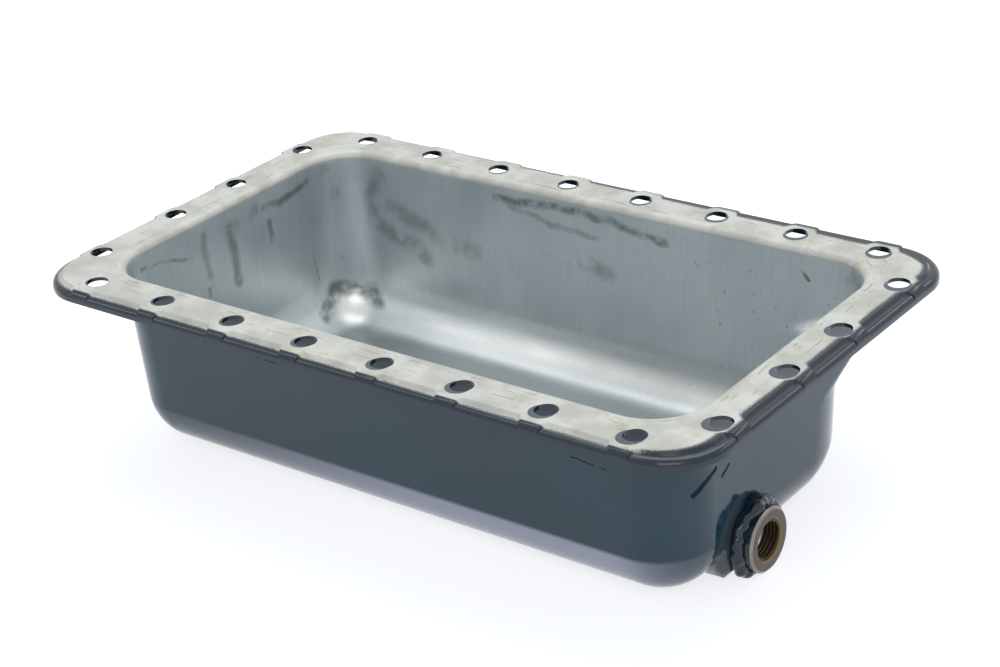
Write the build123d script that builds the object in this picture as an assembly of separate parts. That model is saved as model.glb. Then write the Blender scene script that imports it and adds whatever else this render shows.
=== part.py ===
from build123d import *
from math import radians, sqrt, tan
import os

# Engine oil pan: a rectangular tub deep-drawn from steel sheet, open at the top.
# A flat gasket flange runs round the mouth. It is pierced by a row of bolt holes, its rim
# is turned down into a stiffening lip, and between each two holes the rim is set down in a bead.
# A turned drain boss is welded to a round swage low in the +X end wall.
#
# Frame: the origin is the centre of the bolt pattern on the gasket face, +Z up is out of the mouth,
# and +X points to the end that carries the drain boss. All sizes are in millimetres and degrees.

# pressed sheet
SHEET = 1.5

# bolt pattern
BOLT_HOLE_D = 9.0
ROW_HOLES = 8  # holes in each long row
ROW_PITCH = 37.5
ROW_Y = 85.5  # long rows lie at +Y and -Y
END_X = 151.8  # short columns lie at +X and -X
END_NEAR_Y = 19.0  # the two inner holes of a column
END_FAR_Y = 63.2  # the two outer holes of a column

# flange rim
RIM_BEYOND_END = 9.6  # from a short column of holes to the outside of the lip
RIM_BEYOND_ROW = 11.7  # from a long row of holes to the outside of the lip
RIM_CORNER_R = 25.0
LIP_DROP = 5.3  # from the gasket face to the lower edge of the lip
LAND_ROLL_R = 4.0  # bend from the gasket face into the lip, beside the holes

# beads between the holes
BEAD_DROP = 1.3
BEAD_ROLL_R = 2.8  # softer bend from a bead into the lip
BEAD_WIDTH = 3.6  # from the outside of the lip to the foot of the step
BEAD_END_CLEAR = 4.4  # along the rim, from the centre of a hole to the foot of the step
BEAD_END_CUT = 2.4  # each end of a bead narrows at 45 degrees over this length
BEAD_LEAN = 40.0  # of the step, from upright

# tub, outside of the sheet
MOUTH_WITHIN_END = 10.6  # from a short column of holes in to the tub
MOUTH_WITHIN_ROW = 9.8  # from a long row of holes in to the tub
MOUTH_BEND_R = 3.0  # from the gasket face down into the tub
TUB_CORNER_R = 23.5
TUB_DEPTH = 81.0
FLOOR_BEND_R = 22.0
PLAIN_END_DRAFT = 1.8
DRAIN_END_DRAFT = 2.0
FRONT_DRAFT = 2.4
BACK_DRAFT = 4.0

# the corner between the drain end and the back wall is drawn in below a shoulder
SHOULDER_TOP = 22.0  # depth at which the shoulder begins
SHOULDER_HEIGHT = 17.0
SHOULDER_STEPS = 5
DRAWN_IN_R = 51.5

# drain boss
BOSS_Y = -27.3
BOSS_Z = -67.7
BOSS_D = 26.0
BOSS_LENGTH = 7.8
BOSS_CHAMFER = 1.0
THREAD_BORE_D = 14.4  # minor diameter of an M16 x 1.5 thread
THREAD_LEAD_IN = 0.6
WALL_PORT_D = 18.0  # opening through the sheet behind the boss

# round swage that gives the boss an upright seat, down to the floor bend
SWAGE_D = 38.0
SWAGE_PROUD = 0.3  # of the drafted end wall, at the top of the swage
SWAGE_BEVEL = 3.0  # from the seat round to its flank and its foot
SWAGE_RISE = 5.5  # its underside slopes up from the floor towards the seat

# weld round the boss
WELD_LEG = 2.6  # on the sheet, outwards from the boss
WELD_REACH = 4.2  # along the boss, outwards from the sheet
WELD_FLOOR_CLEAR = 0.8  # the weld stops this far above the underside of the tub

STANDING = (Align.CENTER, Align.CENTER, Align.MIN)
HANGING = (Align.CENTER, Align.CENTER, Align.MAX)

RIM_X = END_X + RIM_BEYOND_END
RIM_Y = ROW_Y + RIM_BEYOND_ROW
MOUTH_X = END_X - MOUTH_WITHIN_END
MOUTH_Y = ROW_Y - MOUTH_WITHIN_ROW
SEAT_X = MOUTH_X + (BOSS_Z + SWAGE_D / 2) * tan(radians(DRAIN_END_DRAFT)) + SWAGE_PROUD
SIDES = (-1, 1)
ROW_LANDS = [((i - (ROW_HOLES - 1) / 2) * ROW_PITCH, side) for i in range(ROW_HOLES) for side in SIDES]
END_LANDS = [(side, along * y) for side in SIDES for along in SIDES for y in (END_NEAR_Y, END_FAR_Y)]
HOLE_SPOTS = [(x, ROW_Y * side) for x, side in ROW_LANDS] + [(END_X * side, y) for side, y in END_LANDS]


def rim_outline(inset):
    """Plan outline of the rim, moved inwards by inset."""
    return RectangleRounded(2 * (RIM_X - inset), 2 * (RIM_Y - inset), RIM_CORNER_R - inset)


def rim_block(inset, top, roll_r):
    """Solid under the rim outline, from the lower edge of the lip to top, with a rolled upper edge."""
    block = extrude(Pos(Z=-LIP_DROP) * rim_outline(inset), top + LIP_DROP)
    return fillet(block.edges().group_by(Axis.Z)[-1], roll_r)


def land_plan(widen):
    """Plan of one land between two beads: open to -Y, its sides spreading where it meets the gasket face."""
    half = BEAD_END_CLEAR - widen
    foot = BEAD_WIDTH + widen
    spread = BEAD_END_CUT + widen * (2 - sqrt(2))
    side = [(half, -RIM_Y), (half, foot - spread), (half + spread + SHEET, foot + SHEET)]
    return make_face(Polyline(*side, *[(-x, y) for x, y in reversed(side)], close=True))


def bead_strips(widen):
    """Plan areas of the beads: a band along the rim, broken by a land at each bolt hole."""
    band = Rectangle(3 * RIM_X, 3 * RIM_Y) - rim_outline(BEAD_WIDTH + widen)
    row_lands = [Pos(x, RIM_Y * side) * Rot(Z=90 + 90 * side) * land_plan(widen) for x, side in ROW_LANDS]
    end_lands = [Pos(RIM_X * side, y) * Rot(Z=90 * side) * land_plan(widen) for side, y in END_LANDS]
    return band - row_lands - end_lands


def bead_cutter(strip):
    """Solid above one bead, its lower edge cut away so that a leaning side starts at the bead's floor."""
    block = extrude(strip, 3 * BEAD_DROP)
    foot = block.faces().sort_by(Axis.Z)[0]
    return chamfer(foot.edges(), bead_lean_run(), 2 * BEAD_DROP, reference=foot)


def bead_lean_run():
    """Plan width of the leaning side of a bead cutter."""
    return 2 * BEAD_DROP * tan(radians(BEAD_LEAN))


def rim_skin(inset, top):
    """Upper surface of the rim as a solid: lands at top, beads set down between them."""
    through_beads = extrude(Pos(Z=-2 * LIP_DROP) * bead_strips(inset), 4 * LIP_DROP)
    above_beads = Pos(Z=top - BEAD_DROP) * bead_strips(inset + bead_lean_run())
    cutters = [bead_cutter(strip) for strip in above_beads.faces()]
    lands = rim_block(inset, top, LAND_ROLL_R - inset) - cutters
    rolled = rim_block(inset, top - BEAD_DROP, BEAD_ROLL_R - inset)
    return lands - (through_beads - rolled)


def shoulder_radius(depth):
    """Bend of the drain-end back corner at a depth: plain above the shoulder, wide below it."""
    share = min(max((depth - SHOULDER_TOP) / SHOULDER_HEIGHT, 0), 1)
    eased = share * share * (3 - 2 * share)
    return TUB_CORNER_R + eased * (DRAWN_IN_R - TUB_CORNER_R)


def tub_section(depth, inset):
    """Level section of the tub at a depth, moved inwards by inset."""
    plain_x = -MOUTH_X + depth * tan(radians(PLAIN_END_DRAFT)) + inset
    drain_x = MOUTH_X - depth * tan(radians(DRAIN_END_DRAFT)) - inset
    front_y = -MOUTH_Y + depth * tan(radians(FRONT_DRAFT)) + inset
    back_y = MOUTH_Y - depth * tan(radians(BACK_DRAFT)) - inset
    centre = Pos((plain_x + drain_x) / 2, (front_y + back_y) / 2, -depth)
    outline = centre * Rectangle(drain_x - plain_x, back_y - front_y)
    corners = outline.vertices().sort_by(lambda v: v.X + v.Y)
    outline = fillet(corners[:-1], TUB_CORNER_R - inset)
    drawn_in = outline.vertices().sort_by(lambda v: v.X + v.Y)[-1]
    return fillet(drawn_in, shoulder_radius(depth) - inset)


def tub_block(inset):
    """Tub with upright walls down to a sharp floor."""
    floor = TUB_DEPTH - inset
    steps = [SHOULDER_TOP + SHOULDER_HEIGHT * i / SHOULDER_STEPS for i in range(SHOULDER_STEPS + 1)]
    return loft([tub_section(depth, inset) for depth in [0, *steps, floor]], ruled=True)


def along_drain(radius, length):
    """Bar on the axis of the drain, from the middle of the tub towards +X."""
    return Pos(0, BOSS_Y, BOSS_Z) * Rot(Y=90) * Cylinder(radius, length, align=STANDING)


def swage_block(inset):
    """Bar out to the seat of the boss, with a sloping underside and a bevel round its end."""
    root_x = SEAT_X - FLOOR_BEND_R
    bar = along_drain(SWAGE_D / 2 - inset, SEAT_X - inset) - along_drain(SWAGE_D, root_x)
    underside = Pos(root_x, 0, inset - TUB_DEPTH) * Rot(Y=-SWAGE_RISE)
    bar &= underside * Box(4 * RIM_X, 4 * RIM_Y, TUB_DEPTH, align=STANDING)
    seat = bar.faces().sort_by(Axis.X)[-1]
    return chamfer(seat.outer_wire().edges(), SWAGE_BEVEL - inset / 2)


def tub_skin(inset):
    """Tub with its floor bend, and with the swage that fills the bend behind the boss."""
    upright = tub_block(inset)
    bent = fillet(upright.faces().sort_by(Axis.Z)[0].outer_wire().edges(), FLOOR_BEND_R - inset)
    return bent + swage_block(inset)


def bolt_holes():
    """Cutters for the holes of both long rows and both short columns."""
    return [Pos(x, y) * Cylinder(BOLT_HOLE_D / 2, 4 * SHEET) for x, y in HOLE_SPOTS]


def mouth_edges(sheet, level):
    """Loop where the tub meets the flange at a level."""
    flat = [e for e in sheet.edges() if all(abs(v.Z - level) < SHEET / 100 for v in e.vertices())]
    return [e for e in flat if abs(e.center().X) < MOUTH_X + SHEET and abs(e.center().Y) < MOUTH_Y + SHEET]


def pan_shell():
    """The pressed sheet: rim and tub in one, with the mouth bent over and the holes pierced."""
    sheet = rim_skin(0, 0) - rim_skin(SHEET, -SHEET) + tub_skin(0) - tub_skin(SHEET)
    sheet = fillet(mouth_edges(sheet, 0), MOUTH_BEND_R)
    sheet = fillet(mouth_edges(sheet, -SHEET), MOUTH_BEND_R - SHEET)
    return sheet - bolt_holes() - along_drain(WALL_PORT_D / 2, RIM_X)


def drain_boss():
    """Turned boss: flat against the swage, chamfered round its face, bored for the thread."""
    bar = along_drain(BOSS_D / 2, SEAT_X + BOSS_LENGTH) - along_drain(BOSS_D, SEAT_X)
    bar = chamfer(bar.edges().filter_by(GeomType.CIRCLE).sort_by(Axis.X)[-1], BOSS_CHAMFER)
    bar -= along_drain(THREAD_BORE_D / 2, RIM_X)
    return chamfer(bar.faces().sort_by(Axis.X)[-1].inner_wires()[0].edges(), THREAD_LEAD_IN)


def boss_weld():
    """Fillet weld round the boss, trimmed clear of the surface the pan stands on."""
    inner_r = BOSS_D / 2
    outer_r = inner_r + WELD_LEG
    back_x = SEAT_X - SWAGE_BEVEL
    tip = (SEAT_X + WELD_REACH, inner_r)
    heel = (SEAT_X, outer_r)
    crown = (SEAT_X + WELD_REACH * 0.6, inner_r + WELD_LEG * 0.7)
    outline = Polyline(tip, (back_x, inner_r), (back_x, outer_r), heel) + ThreePointArc(heel, crown, tip)
    ring = Pos(0, BOSS_Y, BOSS_Z) * revolve(make_face(outline), Axis.X)
    stand = Pos(Z=WELD_FLOOR_CLEAR - TUB_DEPTH) * Box(4 * RIM_X, 4 * RIM_Y, TUB_DEPTH, align=HANGING)
    return ring - stand - tub_skin(0)


os.makedirs("parts", exist_ok=True)
export_step(pan_shell(), "parts/pan_shell.step")
export_step(drain_boss(), "parts/drain_boss.step")
export_step(boss_weld(), "parts/boss_weld.step")
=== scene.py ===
import math

import bpy
from mathutils import Matrix, Vector, noise


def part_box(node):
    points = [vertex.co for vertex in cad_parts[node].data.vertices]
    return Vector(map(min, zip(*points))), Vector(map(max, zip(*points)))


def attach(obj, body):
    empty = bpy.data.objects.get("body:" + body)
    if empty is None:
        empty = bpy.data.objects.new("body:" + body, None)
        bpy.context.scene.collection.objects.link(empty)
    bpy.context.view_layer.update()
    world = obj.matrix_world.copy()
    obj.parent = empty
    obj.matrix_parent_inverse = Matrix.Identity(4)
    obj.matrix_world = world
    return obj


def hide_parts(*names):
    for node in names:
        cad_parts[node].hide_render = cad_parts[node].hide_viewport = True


# An engine oil pan: a tub drawn from steel sheet, painted on the outside and bare inside and on the
# gasket face, with a threaded drain boss welded into one end. Everything is in metres.

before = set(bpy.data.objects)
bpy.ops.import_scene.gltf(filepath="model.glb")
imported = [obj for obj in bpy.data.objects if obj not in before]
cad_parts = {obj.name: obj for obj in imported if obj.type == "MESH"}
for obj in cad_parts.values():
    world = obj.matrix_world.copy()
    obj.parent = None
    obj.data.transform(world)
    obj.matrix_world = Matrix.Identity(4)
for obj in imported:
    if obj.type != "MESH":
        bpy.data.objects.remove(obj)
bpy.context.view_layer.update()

MM = 0.001

# sizes of the solids that the finishes and the added pieces follow
RIM_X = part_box("pan_shell")[1].x
RIM_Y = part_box("pan_shell")[1].y
FLOOR_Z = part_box("pan_shell")[0].z
RIM_CORNER_R = 25 * MM
HOLE_PITCH = 37.5 * MM
HOLE_ROW_Y = 85.5 * MM
HOLE_END_X = 151.8 * MM
HOLE_END_NEAR_Y = 19 * MM
HOLE_END_FAR_Y = 63.2 * MM
ROW_BAND = 12 * MM  # how far in from a long row's line the flange belongs to that row
END_BAND = 6 * MM  # how far in from the line of an end's holes the corner goes over to the end
DRAIN_Y = -27.3 * MM
DRAIN_Z = -67.7 * MM
SEAT_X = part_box("drain_boss")[0].x
BOSS_FACE_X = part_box("drain_boss")[1].x
BOSS_R = 13 * MM
MOUTH_X = 141.2 * MM
MOUTH_Y = 75.7 * MM
MOUTH_R = 23.5 * MM
INSIDE_X = 143 * MM  # no face of the inside lies beyond these
INSIDE_Y = 77 * MM
SWAGE_FROM_X = 110 * MM  # the swage round the drain: where it starts, and how far from the drain's axis
SWAGE_NEAR_R = 12 * MM
SWAGE_FAR_R = 26 * MM

# M16 x 1.5 thread
THREAD_PITCH = 1.5 * MM
THREAD_MAJOR_R = 8.0 * MM
THREAD_MINOR_R = 7.2 * MM
THREAD_SLOPE = 1.35  # groove depths gone down over half a turn; more than 1 leaves a flat at the root
THREAD_CREST = 0.2  # groove depths that the crest's flat takes away
THREAD_RINGS = 84  # of vertices along the bore, about 18 to a turn of the thread

WELD_R = 2.8 * MM  # of the bead itself
WELD_STANDS_OUT = 1.9 * MM  # the bead's middle from the seat
WELD_PUDDLE = 4.6 * MM  # from one ripple of the weld to the next
WELD_LEAN = 1.4 * MM  # how far a ripple lies over from the sheet to the boss
WELD_COARSE = 4.5 * MM  # size of its lumps, coarse and fine
WELD_FINE = 1.7 * MM
WELD_FLOOR_CLEAR = 0.8 * MM  # it stops this far above the underside of the tub
WELD_HEAP_AT = math.radians(100)  # round from +Y, where the weld was started and ended
WELD_HEAP_SPREAD = 0.32  # radians

STAGE_GAP = 0.3 * MM  # so that the floor and the pan's underside aren't in one plane

CAMERA_ANGLES = (39.11, 26.06, -4.76)  # azimuth from the front, elevation and roll, in degrees
CAMERA_PLACE = (0.5350, -0.6504, 0.3816)
CAMERA_SENSOR = 36  # mm
CAMERA_LENS = 83.4696  # mm

ENAMEL_DARK = "#062a36"
ENAMEL_LIGHT = "#0c3f4e"
ENAMEL_SHADED = "#0a2230"  # painted shade: darker enamel for the rim, its lip and the drain
ENAMEL_FLANK_REFLECTION = "#46515a"  # painted reflection: the grey that the wall's gloss shows, for the swage's flank
ENAMEL_AT_HOLES = "#414d56"
# painted reflection of the floor, for the floor bend
PAINTED_FLOOR_REFLECTION = "#a6abbd"
SCRAPED = "#14202a"

# marks in the finishes: the points that each runs through and its radius, all in mm, and its depth
PAINT_MARKS = (
    (((140, -50, -28), (139, -56, -31), (137.5, -61, -34.5)), 1.4, 1.0),
    (((140, -42, -31), (140, -46, -33.5)), 1.1, 1.0),
    (((-105, -75, -20), (-85, -75, -21)), 0.4, 1.0),
    (((-61, -75, -21), (-45, -75, -21)), 0.4, 1.0),
    (((95, -75, -24), (112, -75, -25)), 0.35, 1.0),
)
OIL_SMEARS = (
    (((-116, 73, -10), (-120, 73, -20), (-119, 72, -31), (-109, 72, -37), (-95, 71, -40),
      (-90, 71, -45)), 6.0, 0.6),
    (((-112, 72, -24), (-96, 72, -28), (-80, 72, -34), (-62, 71, -35)), 6.5, 0.5),
    (((-4, 72, -28), (10, 72, -31)), 6.0, 0.6),
    (((-139, -54, -9), (-139, -38, -12), (-139, -25, -16)), 1.3, 0.7),
    (((-139, -3, -11), (-139, 8, -12), (-139, 16, -9)), 4.5, 0.6),
    (((-139, 22, -10), (-139, 32, -12), (-139, 41, -11), (-139, 50, -8)), 2.6, 0.8),
    (((-137, 61, -5), (-135, 64, -13), (-135, 64, -19)), 4.0, 0.6),
    (((124, 74, -6), (134, 66, -9)), 7.0, 0.5),
)
OIL_DRIPS = (
    (((-50, 74, -8), (-15, 74, -6), (11, 74, -7), (38, 73, -11)), 2.8, 0.85),
    (((-44, 74, -9), (-22, 73, -14), (4, 73, -16)), 2.2, 0.5),
    (((-139, -17, -9), (-139, -17, -19), (-139, -16, -28)), 3.0, 0.5),
    (((-139, -1, -12), (-139, 0, -21), (-139, 0, -31), (-139, 0, -37)), 4.0, 0.7),
    (((-139, -18, -34), (-139, -18, -36)), 1.8, 0.8),
    (((-139, 24, -18), (-139, 24, -26)), 2.4, 0.7),
    (((-138, 49, -42), (-138, 49, -53), (-137, 52, -64)), 0.8, 0.6),
    (((-133, 47, -72), (-135, 54, -68), (-135, 58, -64), (-129, 64, -65), (-121, 67, -67),
      (-117, 66, -71)), 5.5, 1.0),
    (((103, 73, -9), (106, 73, -13)), 1.4, 1.0),
    (((-134, 62, -49), (-134, 62, -50)), 0.9, 0.8),
)
CREASES = (
    (((-38, 73, -11), (-23, 72, -28), (5, 72, -30)), 2.2, 1.0),
    (((31, 73, -13), (5, 72, -30)), 2.2, 1.0),
)
GASKET_TRACES = ((2.8, 0.6), (5.0, 0.4), (9.5, 0.45))  # beyond the mouth and half width, in mm


# ---------------------------------------------------------------- helpers

def linear(code, alpha=1.0):
    """Linear colour from an sRGB hex code."""
    channels = [int(code[i:i + 2], 16) / 255 for i in (1, 3, 5)]
    return [c / 12.92 if c <= 0.04045 else ((c + 0.055) / 1.055) ** 2.4 for c in channels] + [alpha]


MODES = {"MapRange": "interpolation_type", "Mix": "data_type"}  # what a kind's second word sets


def add(tree, kind, *values, **named):
    """Adds a node and gives its first live output.

    The kind may end in a second word, the node's operation or mode. Values fill the live inputs in
    order; a named one is a setting, or the input of that name. A socket is linked, the rest is set."""
    kind, _, mode = kind.partition(" ")
    node = tree.nodes.new("ShaderNode" + kind)
    if mode:
        setattr(node, MODES.get(kind, "operation"), mode)
    for name in [n for n in named if n.islower() and hasattr(node, n)]:
        setattr(node, name, named.pop(name))
    live = [socket for socket in node.inputs if socket.enabled]
    given = list(zip(live, values)) + [(node.inputs[n.replace("_", " ")], v) for n, v in named.items()]
    for socket, value in given:
        if isinstance(value, bpy.types.NodeSocket):
            tree.links.new(value, socket)
        else:
            socket.default_value = value
    return next((socket for socket in node.outputs if socket.enabled), None)


def new_material(name):
    """New material: itself, its node tree and the place of each point on the object."""
    material = bpy.data.materials.new(name)
    material.use_nodes = True
    tree = material.node_tree
    tree.nodes.clear()
    return material, tree, add(tree, "TexCoord").node.outputs["Object"]


def deselect_all():
    if bpy.context.object and bpy.context.object.mode != "OBJECT":
        bpy.ops.object.mode_set(mode="OBJECT")
    bpy.ops.object.select_all(action="DESELECT")


def make_active(piece):
    deselect_all()
    bpy.context.view_layer.objects.active = piece
    piece.select_set(True)


# ---------------------------------------------------------------- pieces

def copy_of_node(node, name):
    """Merged copy of a CAD node, ready for smooth shading."""
    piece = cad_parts[node].copy()
    piece.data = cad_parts[node].data.copy()
    piece.name = name
    piece.parent = None
    for key in [k for k in piece.keys() if k.startswith("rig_")]:
        del piece[key]
    bpy.context.scene.collection.objects.link(piece)
    make_active(piece)
    bpy.ops.mesh.customdata_custom_splitnormals_clear()
    bpy.ops.object.mode_set(mode="EDIT")
    bpy.ops.mesh.select_all(action="SELECT")
    bpy.ops.mesh.remove_doubles(threshold=0.002 * MM)
    bpy.ops.object.mode_set(mode="OBJECT")
    return piece


def drain_reach(point):
    """How far a point is from the axis of the drain."""
    return math.hypot(point.y - DRAIN_Y, point.z - DRAIN_Z)


def smooth(piece, degrees, drawn_soft=False):
    """Smooth shading with sharp edges kept, apart from those round the swage where it was drawn soft."""
    make_active(piece)
    bpy.ops.object.shade_smooth_by_angle(angle=math.radians(degrees))
    if drawn_soft:
        for edge in piece.data.edges:
            start, end = [piece.data.vertices[i].co for i in edge.vertices]
            middle = (start + end) / 2
            if middle.x > SWAGE_FROM_X and SWAGE_NEAR_R < drain_reach(middle) < SWAGE_FAR_R:
                edge.use_edge_sharp = False
    modifier = piece.modifiers.new("even_normals", "WEIGHTED_NORMAL")
    modifier.keep_sharp = True
    modifier.weight = 80
    bpy.ops.object.modifier_apply(modifier=modifier.name)


def stands_for(piece, node):
    """The piece takes the place of a CAD node of the pan."""
    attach(piece, "root")
    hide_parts(node)


def make_pan(paint, steel):
    """The pressed pan: outside faces painted, inside and gasket face bare."""
    pan = copy_of_node("pan_shell", "oil_pan")
    pan.data.materials.clear()
    pan.data.materials.append(paint)
    pan.data.materials.append(steel)
    middle = Vector((0, DRAIN_Y, FLOOR_Z / 2))
    for face in pan.data.polygons:
        on_top = face.center.z > -4 * MM and face.normal.z > 0.02
        faces_in = face.normal.dot(face.center - middle) < 0 and abs(face.center.x) < INSIDE_X
        inside = faces_in and abs(face.center.y) < INSIDE_Y and face.normal.z > -0.5
        face.material_index = 1 if on_top or inside else 0
    smooth(pan, 35, drawn_soft=True)
    stands_for(pan, "pan_shell")


def on_drain_axis(at_x):
    """What turns a round form that lies level at the origin to the drain's axis, and takes it there."""
    return Matrix.Translation((at_x, DRAIN_Y, DRAIN_Z)) @ Matrix.Rotation(math.pi / 2, 4, "Y")


def ring_round_drain(radius, at_x, steps, name):
    """Circle of vertices round the axis of the drain, as a new object in edit mode."""
    deselect_all()
    bpy.ops.mesh.primitive_circle_add(vertices=steps, radius=radius, location=(0, 0, 0))
    ring = bpy.context.object
    ring.name = name
    ring.data.transform(on_drain_axis(at_x))
    bpy.ops.object.mode_set(mode="EDIT")
    bpy.ops.mesh.select_all(action="SELECT")
    return ring


def lathe_on(radius_from, radius_to, along):
    """Next ring of a turned surface: the selected ring, drawn along the drain to a new radius."""
    bpy.ops.mesh.extrude_region_move(TRANSFORM_OT_translate={"value": (along, 0, 0)})
    scale = radius_to / radius_from
    bpy.ops.transform.resize(value=(1, scale, scale), center_override=(0, DRAIN_Y, DRAIN_Z))


def turn_profile(name, profile, steps):
    """Closed turned piece: profile is (x, radius) from ring to ring, back to its first ring."""
    start_x, start_r = profile[0]
    piece = ring_round_drain(start_r, start_x, steps, name)
    for (x0, r0), (x1, r1) in zip(profile, profile[1:]):
        lathe_on(r0, r1, x1 - x0)
    bpy.ops.mesh.select_all(action="SELECT")
    bpy.ops.mesh.remove_doubles(threshold=0.004 * MM)
    bpy.ops.mesh.normals_make_consistent(inside=False)
    bpy.ops.object.mode_set(mode="OBJECT")
    return piece


def make_boss(paint, turned):
    """The turned drain boss, with a helical thread cut in its bore."""
    back, face = SEAT_X, BOSS_FACE_X
    edge, lead_in, ledge = 0.9 * MM, 0.7 * MM, 0.35 * MM
    outside = [(back, BOSS_R - ledge), (back + ledge, BOSS_R), (face - edge - ledge, BOSS_R),
               (face - edge, BOSS_R - 0.1 * MM), (face - 0.15 * MM, BOSS_R - edge),
               (face, BOSS_R - edge - 0.2 * MM)]
    mouth = [(face, THREAD_MAJOR_R + lead_in), (face - 0.08 * MM, THREAD_MAJOR_R + lead_in - 0.15 * MM),
             (face - lead_in, THREAD_MAJOR_R)]
    first, last = face - lead_in - 0.1 * MM, back + 0.1 * MM
    bore = [(first + (last - first) * i / THREAD_RINGS, THREAD_MAJOR_R - 0.02 * MM)
            for i in range(THREAD_RINGS + 1)]
    profile = outside + mouth + bore + [(back, THREAD_MAJOR_R), (back, BOSS_R - ledge)]
    boss = turn_profile("threaded_drain_boss", profile, 128)
    for vertex in boss.data.vertices:
        radius = drain_reach(vertex.co)
        if radius > THREAD_MAJOR_R - 0.01 * MM or not last - MM < vertex.co.x < first + MM:
            continue
        y, z = vertex.co.y - DRAIN_Y, vertex.co.z - DRAIN_Z
        turn = ((vertex.co.x - back) / THREAD_PITCH - math.atan2(z, y) / math.tau) % 1
        depth = min(max(abs(turn - 0.5) * 2 * THREAD_SLOPE - THREAD_CREST, 0), 1)
        new_radius = THREAD_MINOR_R + (THREAD_MAJOR_R - THREAD_MINOR_R) * depth
        vertex.co.y = DRAIN_Y + y * new_radius / radius
        vertex.co.z = DRAIN_Z + z * new_radius / radius
    boss.data.materials.append(paint)
    boss.data.materials.append(turned)
    for polygon in boss.data.polygons:
        bare = polygon.center.x > face - edge * 0.8 or drain_reach(polygon.center) < THREAD_MAJOR_R + MM
        polygon.material_index = 1 if bare else 0
    smooth(boss, 40)
    stands_for(boss, "drain_boss")


def make_weld(paint):
    """The hand-laid weld round the boss: overlapping puddles, heaped where the bead began and ended."""
    deselect_all()
    bpy.ops.mesh.primitive_torus_add(major_segments=300, minor_segments=20, location=(0, 0, 0),
                                     major_radius=BOSS_R + 0.4 * MM, minor_radius=WELD_R)
    weld = bpy.context.object
    weld.name = "weld_bead"
    middle_x = SEAT_X + WELD_STANDS_OUT
    weld.data.transform(on_drain_axis(middle_x))
    for vertex in weld.data.vertices:
        angle = math.atan2(vertex.co.z - DRAIN_Z, vertex.co.y - DRAIN_Y)
        core = Vector((middle_x, DRAIN_Y + math.cos(angle) * BOSS_R, DRAIN_Z + math.sin(angle) * BOSS_R))
        out = (vertex.co - core).normalized()
        arc = angle * BOSS_R + out.x * WELD_LEAN
        puddle = math.cos(arc / WELD_PUDDLE * math.tau)
        lump = noise.noise(vertex.co / WELD_COARSE) + 0.35 * noise.noise(vertex.co / WELD_FINE)
        heap = math.exp(-((angle - WELD_HEAP_AT) / WELD_HEAP_SPREAD) ** 2) * max(out.x, 0.0)
        vertex.co += out * (0.18 * puddle + 0.7 * lump + 1.9 * heap) * MM
        vertex.co.z = max(vertex.co.z, FLOOR_Z + WELD_FLOOR_CLEAR)
        vertex.co.x = max(vertex.co.x, SEAT_X)
    weld.data.materials.append(paint)
    smooth(weld, 60)
    stands_for(weld, "boss_weld")


# ---------------------------------------------------------------- marks and places on the surface

def chain(tree, kind, masks):
    """Several masks made one by the same kind of node: MAXIMUM is any of them, MULTIPLY all at once."""
    joined = masks[0]
    for mask in masks[1:]:
        joined = add(tree, kind, joined, mask)
    return joined


def stroke(tree, place, start, end, radius, edge):
    """1 close to the line from start to end (in mm), fading out over the edge's share of the radius."""
    a, b = Vector(start) * MM, Vector(end) * MM
    run = b - a
    from_start = add(tree, "VectorMath SUBTRACT", place, a)
    along = add(tree, "VectorMath DOT_PRODUCT", from_start, run)
    share = add(tree, "Math DIVIDE", along, run.length_squared, use_clamp=True)
    foot = add(tree, "VectorMath SCALE", run, share)
    gap = add(tree, "VectorMath DISTANCE", from_start, foot)
    return add(tree, "MapRange SMOOTHSTEP", gap, radius * (1 - edge) * MM, radius * MM, 1.0, 0.0)


def path_of(tree, place, points, radius, edge):
    """Stroke through several points."""
    strokes = [stroke(tree, place, a, b, radius, edge) for a, b in zip(points, points[1:])]
    return chain(tree, "Math MAXIMUM", strokes)


def marks_of(tree, place, table, edge):
    """All the marks of a table of (points, radius, depth)."""
    return chain(tree, "Math MAXIMUM", [
        add(tree, "Math MULTIPLY", path_of(tree, place, points, radius, edge), depth)
        for points, radius, depth in table])


def wandering(tree, place, grain, reach):
    """The place pushed about by up to a reach, so that edges drawn from it are uneven at that grain."""
    push = add(tree, "TexNoise", Vector=place, Scale=1 / grain, Detail=2.0).node.outputs["Color"]
    centred = add(tree, "VectorMath SUBTRACT", push, (0.5, 0.5, 0.5))
    return add(tree, "VectorMath ADD", place, add(tree, "VectorMath SCALE", centred, 2 * reach))


def from_drain_axis(tree, place):
    """Distance of a place from the axis of the drain."""
    offset = add(tree, "VectorMath SUBTRACT", place, (0, DRAIN_Y, DRAIN_Z))
    return add(tree, "VectorMath LENGTH", add(tree, "VectorMath MULTIPLY", offset, (0, 1, 1)))


def beyond_rounded(tree, place, half_x, half_y, corner_r):
    """Level distance outwards from a rounded rectangle round the origin; less than 0 inside it."""
    flat = add(tree, "VectorMath MULTIPLY", place, (1, 1, 0))
    folded = add(tree, "VectorMath ABSOLUTE", flat)
    past = add(tree, "VectorMath SUBTRACT", folded, (half_x - corner_r, half_y - corner_r, 0))
    outside = add(tree, "VectorMath LENGTH", add(tree, "VectorMath MAXIMUM", past, (0, 0, 0)))
    x, y, _ = add(tree, "SeparateXYZ", past).node.outputs
    within = add(tree, "Math MINIMUM", add(tree, "Math MAXIMUM", x, y), 0.0)
    return add(tree, "Math SUBTRACT", add(tree, "Math ADD", outside, within), corner_r)


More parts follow.
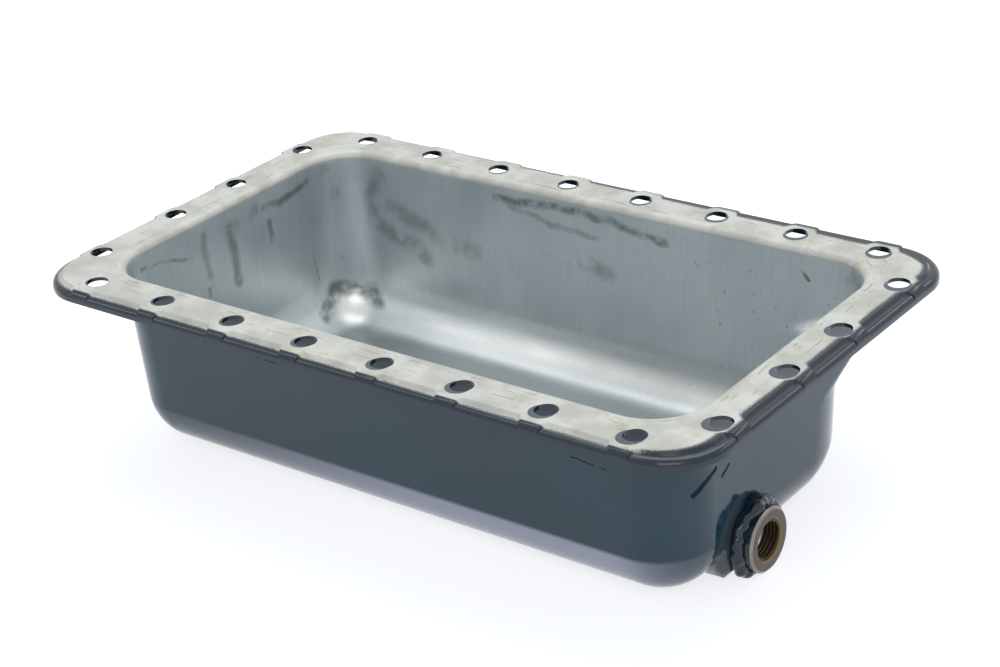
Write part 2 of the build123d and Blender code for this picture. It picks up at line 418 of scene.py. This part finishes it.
def hole_offsets(tree, place):
    """How far a place on the flange is along the rim from the nearest bolt hole, and from its centre."""
    x, y, _ = add(tree, "SeparateXYZ", place).node.outputs
    far_x, far_y = add(tree, "Math ABSOLUTE", x), add(tree, "Math ABSOLUTE", y)
    turns = add(tree, "Math FRACT", add(tree, "Math DIVIDE", x, HOLE_PITCH))
    off_centre = add(tree, "Math ABSOLUTE", add(tree, "Math SUBTRACT", turns, 0.5))
    row_along = add(tree, "Math MULTIPLY", off_centre, HOLE_PITCH)
    row_across = add(tree, "Math SUBTRACT", far_y, HOLE_ROW_Y)
    to_near, to_far = [add(tree, "Math ABSOLUTE", add(tree, "Math SUBTRACT", far_y, hole_y))
                       for hole_y in (HOLE_END_NEAR_Y, HOLE_END_FAR_Y)]
    end_along = add(tree, "Math MINIMUM", to_near, to_far)
    end_across = add(tree, "Math SUBTRACT", far_x, HOLE_END_X)
    to_row, to_end = [add(tree, "VectorMath LENGTH", add(tree, "CombineXYZ", along, across))
                      for along, across in ((row_along, row_across), (end_along, end_across))]
    on_row = add(tree, "Math MULTIPLY", add(tree, "Math GREATER_THAN", row_across, -ROW_BAND),
                 add(tree, "Math LESS_THAN", end_across, -END_BAND))
    along = add(tree, "Mix", on_row, end_along, row_along)
    return along, add(tree, "Math MINIMUM", to_row, to_end)


# ---------------------------------------------------------------- materials

def enamel_paint():
    """Stoved enamel over drawn steel, sprayed: a hard gloss that mirrors the floor, with the film's slow
    ripple, a pale band along the floor bend that is a painted reflection of the floor, and a few scrapes
    that lost their gloss."""
    material, tree, place = new_material("stoved_enamel_paint")
    x, y, z = add(tree, "SeparateXYZ", place).node.outputs
    thickness = add(tree, "TexNoise", Vector=place, Scale=1 / (60 * MM), Detail=2.0)
    colour = add(tree, "Mix RGBA", thickness, linear(ENAMEL_DARK), linear(ENAMEL_LIGHT))

    # painted shade: the enamel is darker on the rim, and on the weld and the boss
    on_rim = add(tree, "MapRange SMOOTHSTEP", z, -9 * MM, -6 * MM)
    on_drain = add(tree, "Math MULTIPLY",
                   add(tree, "MapRange SMOOTHSTEP", x, SEAT_X + 0.05 * MM, SEAT_X + 0.3 * MM),
                   add(tree, "MapRange SMOOTHSTEP", z, -52 * MM, -49 * MM, 1.0, 0.0))
    shaded_rim_and_drain = add(tree, "Math MAXIMUM", on_rim, on_drain)
    colour = add(tree, "Mix RGBA", shaded_rim_and_drain, colour, linear(ENAMEL_SHADED))

    # painted reflection: grey on the swage's flank beside the weld, like the wall's reflection of the
    # floor
    flank_reflection = chain(tree, "Math MULTIPLY", [
        add(tree, "MapRange SMOOTHSTEP", from_drain_axis(tree, place), 20.5 * MM, 23 * MM, 1.0, 0.0),
        add(tree, "MapRange SMOOTHSTEP", x, 131 * MM, 133 * MM),
        add(tree, "MapRange SMOOTHSTEP", x, SEAT_X + 0.05 * MM, SEAT_X + 0.25 * MM, 0.8, 0.0),
        add(tree, "MapRange SMOOTHSTEP", y, -35 * MM, -28 * MM, 1.0, 0.0)])
    colour = add(tree, "Mix RGBA", flank_reflection, colour, linear(ENAMEL_FLANK_REFLECTION))

    # painted reflection of the pale floor on the front of the floor bend, stronger towards the drain
    # end, fading out near the drain
    painted_floor_reflection = chain(tree, "Math MULTIPLY", [
        add(tree, "MapRange SMOOTHSTEP", z, -62.5 * MM, -60 * MM, 1.0, 0.0),
        add(tree, "MapRange SMOOTHSTEP", z, -79.5 * MM, -77.5 * MM),
        add(tree, "MapRange SMOOTHSTEP", x, -130 * MM, 50 * MM, 0.1, 0.92),
        add(tree, "MapRange SMOOTHSTEP", x, 105 * MM, 140 * MM, 1.0, 0.15),
        add(tree, "MapRange SMOOTHSTEP", y, -62 * MM, -40 * MM, 1.0, 0.0)])
    colour = add(tree, "Mix RGBA", painted_floor_reflection, colour, linear(PAINTED_FLOOR_REFLECTION))

    ripple = add(tree, "TexNoise", Vector=place, Scale=1 / (7 * MM), Detail=2.0)
    sag = add(tree, "TexNoise", Vector=place, Scale=1 / (50 * MM), Detail=1.0)
    film = add(tree, "Bump", Height=add(tree, "Math MULTIPLY_ADD", sag, 8.0, ripple), Distance=0.03 * MM,
               Strength=0.5)
    haze = add(tree, "TexNoise", Vector=place, Scale=1 / (1.5 * MM), Detail=3.0, Roughness=0.7)
    gloss = add(tree, "BsdfPrincipled", Base_Color=colour, IOR=1.5, Normal=film,
                Roughness=add(tree, "MapRange SMOOTHSTEP", haze, 0.35, 0.75, 0.06, 0.13))
    dull = add(tree, "BsdfPrincipled", Base_Color=linear(SCRAPED), Roughness=0.6, Specular_IOR_Level=0.1)
    scraped = marks_of(tree, wandering(tree, place, 5 * MM, 1.0 * MM), PAINT_MARKS, 0.35)
    add(tree, "OutputMaterial", add(tree, "MixShader", scraped, gloss, dull))
    return material


def inside_stains(tree, place):
    """Oil smudges, drips and specks on the inside of the tub, as one mask."""
    uneven = wandering(tree, place, 12 * MM, 2.4 * MM)
    x, _, z = add(tree, "SeparateXYZ", place).node.outputs
    cloud = add(tree, "TexNoise", Vector=place, Scale=1 / (12 * MM), Detail=3.0, Roughness=0.55)
    broken = add(tree, "MapRange SMOOTHSTEP", cloud, 0.32, 0.62)
    smears = add(tree, "Math MULTIPLY", marks_of(tree, uneven, OIL_SMEARS, 0.9), broken)
    fine = add(tree, "TexNoise", Vector=place, Scale=1 / (5 * MM), Detail=3.0, Roughness=0.6)
    blotched = add(tree, "MapRange SMOOTHSTEP", fine, 0.28, 0.60, 0.3, 1.0)
    drips = add(tree, "Math MULTIPLY", marks_of(tree, uneven, OIL_DRIPS, 0.8), blotched)
    speckle = add(tree, "TexNoise", Vector=place, Scale=1 / (3.2 * MM), Detail=2.0, Roughness=0.8)
    specks = chain(tree, "Math MULTIPLY", [
        add(tree, "MapRange SMOOTHSTEP", speckle, 0.67, 0.73),
        add(tree, "MapRange SMOOTHSTEP", x, 20 * MM, 70 * MM),
        add(tree, "MapRange SMOOTHSTEP", z, -14 * MM, -8 * MM, 0.6, 0.0)])
    return chain(tree, "Math MAXIMUM", [smears, drips, specks])


def bare_inside(tree, place, mottle):
    """Colour of the drawn inside: blue-grey steel, with a painted highlight along the floor bend and
    painted shade on the floor, with faint draw lines and the stains of old oil."""
    x, _, z = add(tree, "SeparateXYZ", place).node.outputs
    inner = add(tree, "Mix RGBA", mottle, linear("#b8c0c4"), linear("#d3dadc"))
    # painted highlight: the floor bend is paler, less so towards the drain end
    on_bend = add(tree, "Math MULTIPLY", add(tree, "MapRange SMOOTHSTEP", z, -79.3 * MM, -76 * MM),
                  add(tree, "MapRange SMOOTHSTEP", z, -67 * MM, -56 * MM, 1.0, 0.0))
    bend_highlight = add(tree, "Mix RGBA", add(tree, "MapRange SMOOTHSTEP", x, -60 * MM, 40 * MM),
                 linear("#d6dad9"), linear("#b0b5b4"))
    inner = add(tree, "Mix RGBA", on_bend, inner, bend_highlight)
    # painted shade: the tub's floor is darker
    on_floor = add(tree, "MapRange SMOOTHSTEP", z, -79.4 * MM, -77.5 * MM, 0.75, 0.0)
    inner = add(tree, "Mix RGBA", on_floor, inner, linear("#8d9496"))

    tall = add(tree, "VectorMath MULTIPLY", place, (1, 1, 0.06))
    lines = add(tree, "TexNoise", Vector=tall, Scale=1 / (1.4 * MM), Detail=2.0)
    drawn = add(tree, "MapRange SMOOTHSTEP", lines, 0.45, 0.7, 0.0, 0.08)
    inner = add(tree, "Mix RGBA", drawn, inner, linear("#7f8a8f"))
    stained = add(tree, "Math MULTIPLY", inside_stains(tree, place), 0.74)
    return add(tree, "Mix RGBA", stained, inner, linear("#45494b"))


def bare_flange(tree, place):
    """Colour of the gasket face: dull pale steel, yellowed in patches, with traces of an old gasket."""
    patch = add(tree, "TexNoise", Vector=place, Scale=1 / (16 * MM), Detail=3.0, Roughness=0.6)
    patchy = add(tree, "MapRange SMOOTHSTEP", patch, 0.35, 0.65)
    flat = add(tree, "Mix RGBA", patchy, linear("#b2b3ab"), linear("#c9cac3"))
    stain = add(tree, "TexNoise", Vector=place, Scale=1 / (11 * MM), Detail=4.0, Roughness=0.6)
    yellowed = add(tree, "MapRange SMOOTHSTEP", stain, 0.58, 0.70, 0.0, 0.5)
    flat = add(tree, "Mix RGBA", yellowed, flat, linear("#a89f78"))

    uneven = wandering(tree, place, 12 * MM, 1.3 * MM)
    past_mouth = beyond_rounded(tree, uneven, MOUTH_X, MOUTH_Y, MOUTH_R)
    traces = []
    for away, width in GASKET_TRACES:
        gap = add(tree, "Math ABSOLUTE", add(tree, "Math SUBTRACT", past_mouth, away * MM))
        line = add(tree, "MapRange SMOOTHSTEP", gap, 0.2 * width * MM, width * MM, 1.0, 0.0)
        shifted = add(tree, "VectorMath ADD", place, (away, width, 0))
        left = add(tree, "TexNoise", Vector=shifted, Scale=1 / (13 * MM), Detail=3.0, Roughness=0.6)
        broken = add(tree, "MapRange SMOOTHSTEP", left, 0.50, 0.62, 0.0, 0.6)
        traces.append(add(tree, "Math MULTIPLY", line, broken))
    flat = add(tree, "Mix RGBA", chain(tree, "Math MAXIMUM", traces), flat, linear("#7d7463"))

    speckle = add(tree, "TexNoise", Vector=place, Scale=1 / (2.4 * MM), Detail=2.0, Roughness=0.6)
    specks = add(tree, "MapRange SMOOTHSTEP", speckle, 0.72, 0.77, 0.0, 0.6)
    return add(tree, "Mix RGBA", specks, flat, linear("#6c665a"))


def mist_on_rim(tree, place, grainy):
    """Paint along the rim: whole in the lip's roll, a grainy mist over the beads, widest at the drain
    end."""
    x, y, _ = add(tree, "SeparateXYZ", place).node.outputs
    past_rim = beyond_rounded(tree, place, RIM_X, RIM_Y, RIM_CORNER_R)
    in_from_rim = add(tree, "Math MULTIPLY", past_rim, -1.0)
    to_drain_end = add(tree, "Math MULTIPLY_ADD", y, 0.25, x)
    front_reach = add(tree, "MapRange SMOOTHSTEP", to_drain_end, 95 * MM, 140 * MM, 2.4 * MM, 6.4 * MM)
    back_reach = add(tree, "Math MULTIPLY", add(tree, "MapRange SMOOTHSTEP", y, 70 * MM, 88 * MM),
                     add(tree, "MapRange SMOOTHSTEP", x, -160 * MM, 160 * MM, 3.8 * MM, 8.6 * MM))
    reach = add(tree, "Math MAXIMUM", front_reach, back_reach)
    drift = add(tree, "TexNoise", Vector=place, Scale=1 / (20 * MM), Detail=2.0)
    reach = add(tree, "Math MULTIPLY_ADD", add(tree, "Math SUBTRACT", drift, 0.5), 1.6 * MM, reach)

    along, _ = hole_offsets(tree, place)
    between_holes = add(tree, "MapRange SMOOTHSTEP", along, 4.5 * MM, 8.0 * MM)
    near_hole = add(tree, "MapRange SMOOTHSTEP", to_drain_end, 0.0, 140 * MM, 0.45, 0.62)
    reach = add(tree, "Math MULTIPLY", reach, add(tree, "Mix", between_holes, near_hole, 1.0))
    short = add(tree, "Math DIVIDE", add(tree, "Math SUBTRACT", in_from_rim, reach), 2.0 * MM)
    sprayed = add(tree, "Math MULTIPLY_ADD", grainy, 1.6, short)
    mist = add(tree, "MapRange SMOOTHSTEP", sprayed, -0.3, 0.7, 1.0, 0.0)
    rolled = add(tree, "MapRange SMOOTHSTEP", in_from_rim, 2.0 * MM, 2.7 * MM, 1.0, 0.0)
    return add(tree, "Math MAXIMUM", mist, rolled)


def crescents_at_holes(tree, place, grainy):
    """Paint that crept past a round mask sitting off each bolt hole's centre."""
    x, y, _ = add(tree, "SeparateXYZ", place).node.outputs
    off_x = add(tree, "MapRange SMOOTHSTEP", y, -60 * MM, 80 * MM, -0.7 * MM, 0.8 * MM)
    off_y = add(tree, "Math MULTIPLY_ADD", x, -0.0057, -1.3 * MM)
    shifted = add(tree, "VectorMath SUBTRACT", place, add(tree, "CombineXYZ", off_x, off_y))
    _, to_spot = hole_offsets(tree, shifted)
    spot_r = add(tree, "Math MULTIPLY_ADD", x, 0.0040, 4.8 * MM)
    past_spot = add(tree, "Math SUBTRACT", to_spot, spot_r)
    past_spot = add(tree, "Math MULTIPLY_ADD", grainy, 0.6 * MM, past_spot)
    return add(tree, "MapRange SMOOTHSTEP", past_spot, -0.25 * MM, 0.15 * MM, 1.0, 0.0)


def drawn_steel():
    """Cold-rolled sheet steel, deep-drawn: satin inside, dull and pale on the gasket face, with the
    enamel's mist along the rim and a crescent of paint beside each bolt hole."""
    material, tree, place = new_material("drawn_sheet_steel")
    z = add(tree, "SeparateXYZ", place).node.outputs["Z"]
    on_face = add(tree, "MapRange SMOOTHSTEP", z, -5 * MM, -1.0 * MM)
    mottle = add(tree, "TexNoise", Vector=place, Scale=1 / (34 * MM), Detail=4.0, Roughness=0.6)
    bare = add(tree, "Mix RGBA", on_face, bare_inside(tree, place, mottle), bare_flange(tree, place))

    grain = add(tree, "TexNoise", Vector=place, Scale=1 / (0.7 * MM), Detail=3.0, Roughness=0.8)
    grainy = add(tree, "Math SUBTRACT", grain, 0.5)
    on_flange = add(tree, "MapRange SMOOTHSTEP", z, -8 * MM, -7 * MM)
    lip_paint = add(tree, "Math MULTIPLY", mist_on_rim(tree, place, grainy), on_flange)
    hole_paint = add(tree, "Math MULTIPLY", crescents_at_holes(tree, place, grainy), on_flange)
    # painted shade: the rim's paint takes the darker enamel colour
    colour = add(tree, "Mix RGBA", lip_paint, bare, linear(ENAMEL_SHADED))
    colour = add(tree, "Mix RGBA", hole_paint, colour, linear(ENAMEL_AT_HOLES))

    painted = add(tree, "Math MAXIMUM", lip_paint, hole_paint)
    metallic = add(tree, "Math MULTIPLY", add(tree, "Math SUBTRACT", 1.0, painted),
                   add(tree, "MapRange SMOOTHSTEP", z, -5 * MM, -1.0 * MM, 0.8, 0.2))
    satin = add(tree, "MapRange SMOOTHSTEP", mottle, 0.3, 0.7, 0.30, 0.42)
    satin = add(tree, "Math MAXIMUM", satin, add(tree, "Math MULTIPLY", on_face, 0.55))
    rough = add(tree, "Mix", painted, satin, 0.16)

    # the rolled sheet's fine grain over slow waves, and the creases that the press left
    fine = add(tree, "TexNoise", Vector=place, Scale=1 / (0.8 * MM), Detail=2.0)
    slow = add(tree, "TexNoise", Vector=place, Scale=1 / (40 * MM), Detail=1.0)
    crease = marks_of(tree, place, CREASES, 1.0)
    waves = add(tree, "Math MULTIPLY_ADD", slow, 30.0, fine)
    bump = add(tree, "Bump", Height=add(tree, "Math MULTIPLY_ADD", crease, 12.0, waves),
               Distance=0.012 * MM, Strength=0.6)
    add(tree, "OutputMaterial", add(tree, "BsdfPrincipled", Base_Color=colour, Metallic=metallic,
                                    Roughness=rough, Normal=bump))
    return material


def turned_steel():
    """Free-cutting steel faced on a lathe: brown-grey with age, brassy with old oil in the bore, and
    ringed by the tool."""
    material, tree, place = new_material("turned_steel")
    radius = from_drain_axis(tree, place)
    outwards = add(tree, "CombineXYZ", radius)
    rings = add(tree, "TexNoise", Vector=outwards, Scale=1 / (0.35 * MM), Detail=2.0)
    age = add(tree, "TexNoise", Vector=place, Scale=1 / (5 * MM), Detail=3.0)
    colour = add(tree, "Mix RGBA", age, linear("#4b4541"), linear("#635d57"))
    at_edge = add(tree, "MapRange SMOOTHSTEP", radius, BOSS_R - 1.3 * MM, BOSS_R - 0.9 * MM)
    colour = add(tree, "Mix RGBA", at_edge, colour, linear("#86827d"))
    past_bore = add(tree, "Math SUBTRACT", radius, THREAD_MAJOR_R)
    brassy = add(tree, "MapRange SMOOTHSTEP", past_bore, 0.6 * MM, 1.0 * MM, 0.8, 0.0)
    colour = add(tree, "Mix RGBA", brassy, colour, linear("#7b6c3f"))
    in_bore = add(tree, "MapRange SMOOTHSTEP", past_bore, -0.1 * MM, 0.3 * MM, 1.0, 0.0)
    colour = add(tree, "Mix RGBA", in_bore, colour, linear("#3d3024"))
    bump = add(tree, "Bump", Height=rings, Distance=0.02 * MM, Strength=0.5)
    rough = add(tree, "MapRange SMOOTHSTEP", age, 0.3, 0.7, 0.28, 0.40)
    add(tree, "OutputMaterial", add(tree, "BsdfPrincipled", Base_Color=colour, Metallic=0.9, Normal=bump,
                                    Roughness=rough))
    return material


# ---------------------------------------------------------------- stage, light and camera

def looked_along(tree):
    """1 for a ray from the eye, straight or by way of a mirror; 0 for one that only carries light."""
    rays = add(tree, "LightPath").node.outputs
    return chain(tree, "Math MAXIMUM", [
        rays["Is Camera Ray"], rays["Is Glossy Ray"], rays["Is Transmission Ray"]])


def white_stage():
    """Floor at the foot of the pan, white to the eye, with the pan's shadow kept."""
    material, tree, place = new_material("white_card")
    card = add(tree, "BsdfDiffuse", linear("#f4f5f8"))
    dim_card = add(tree, "BsdfDiffuse", linear("#a4a9b4"))
    away = add(tree, "VectorMath LENGTH", place)
    glow = add(tree, "MapRange SMOOTHSTEP", away, 170 * MM, 360 * MM, 0.77, 1.0)
    seen_card = add(tree, "AddShader", dim_card, add(tree, "Emission", Strength=glow))
    add(tree, "OutputMaterial", add(tree, "MixShader", looked_along(tree), card, seen_card))
    deselect_all()
    bpy.ops.mesh.primitive_circle_add(vertices=96, radius=6, fill_type="NGON", location=(0, 0, 0))
    floor = bpy.context.object
    floor.name = "floor_card"
    for vertex in floor.data.vertices:
        vertex.co.z = FLOOR_Z - STAGE_GAP
    floor.data.materials.append(material)


def soft_box(name, place, aim, size, watts):
    """Square-cornered soft lamp at a place, turned to face another."""
    lamp = bpy.data.lights.new(name, "AREA")
    lamp.shape = "RECTANGLE"
    lamp.size, lamp.size_y = size
    lamp.energy = watts
    holder = bpy.data.objects.new(name, lamp)
    holder.location = place
    holder.rotation_mode = "QUATERNION"
    holder.rotation_quaternion = (Vector(aim) - Vector(place)).to_track_quat("-Z", "Y")
    bpy.context.scene.collection.objects.link(holder)


def light_the_stage():
    """A white room that lights softly from all round, with large lamps and thin ones for gloss."""
    world = bpy.data.worlds.new("white_room")
    bpy.context.scene.world = world
    world.use_nodes = True
    tree = world.node_tree
    tree.nodes.clear()
    room = add(tree, "Background", linear("#eef2f8"), 0.6)
    white = add(tree, "Background", (1, 1, 1, 1), 1.0)
    add(tree, "OutputWorld", add(tree, "MixShader", looked_along(tree), room, white))
    soft_box("top_soft_box", (-0.2, 0.5, 1.4), (0, 0, 0), (1.6, 1.2), 12)
    soft_box("front_soft_box", (0.9, -1.3, 1.1), (0, 0, -0.03), (1.0, 0.8), 5)
    soft_box("left_strip", (-1.0, -0.75, 1.2), (0, 0, 0), (0.12, 1.4), 2.0)
    soft_box("right_strip", (0.75, 1.25, 1.0), (0, 0, 0), (1.4, 0.12), 2.0)


def place_camera():
    """Seen from the drain end's near corner, from a little above."""
    azimuth, elevation, roll = [math.radians(angle) for angle in CAMERA_ANGLES]
    back = Vector((math.sin(azimuth) * math.cos(elevation), -math.cos(azimuth) * math.cos(elevation),
                   math.sin(elevation)))
    right = Vector((math.cos(azimuth), math.sin(azimuth), 0))
    up = back.cross(right)
    across = math.cos(roll) * right + math.sin(roll) * up
    upward = -math.sin(roll) * right + math.cos(roll) * up
    camera = bpy.data.objects.new("camera", bpy.data.cameras.new("camera"))
    camera.data.sensor_width = CAMERA_SENSOR
    camera.data.lens = CAMERA_LENS
    turned = Matrix((across, upward, back)).transposed().to_4x4()
    camera.matrix_world = Matrix.Translation(CAMERA_PLACE) @ turned
    bpy.context.scene.collection.objects.link(camera)
    bpy.context.scene.camera = camera


place_camera()
white_stage()
light_the_stage()
bpy.context.scene.view_settings.view_transform = "Standard"

paint = enamel_paint()
make_pan(paint, drawn_steel())
make_boss(paint, turned_steel())
make_weld(paint)
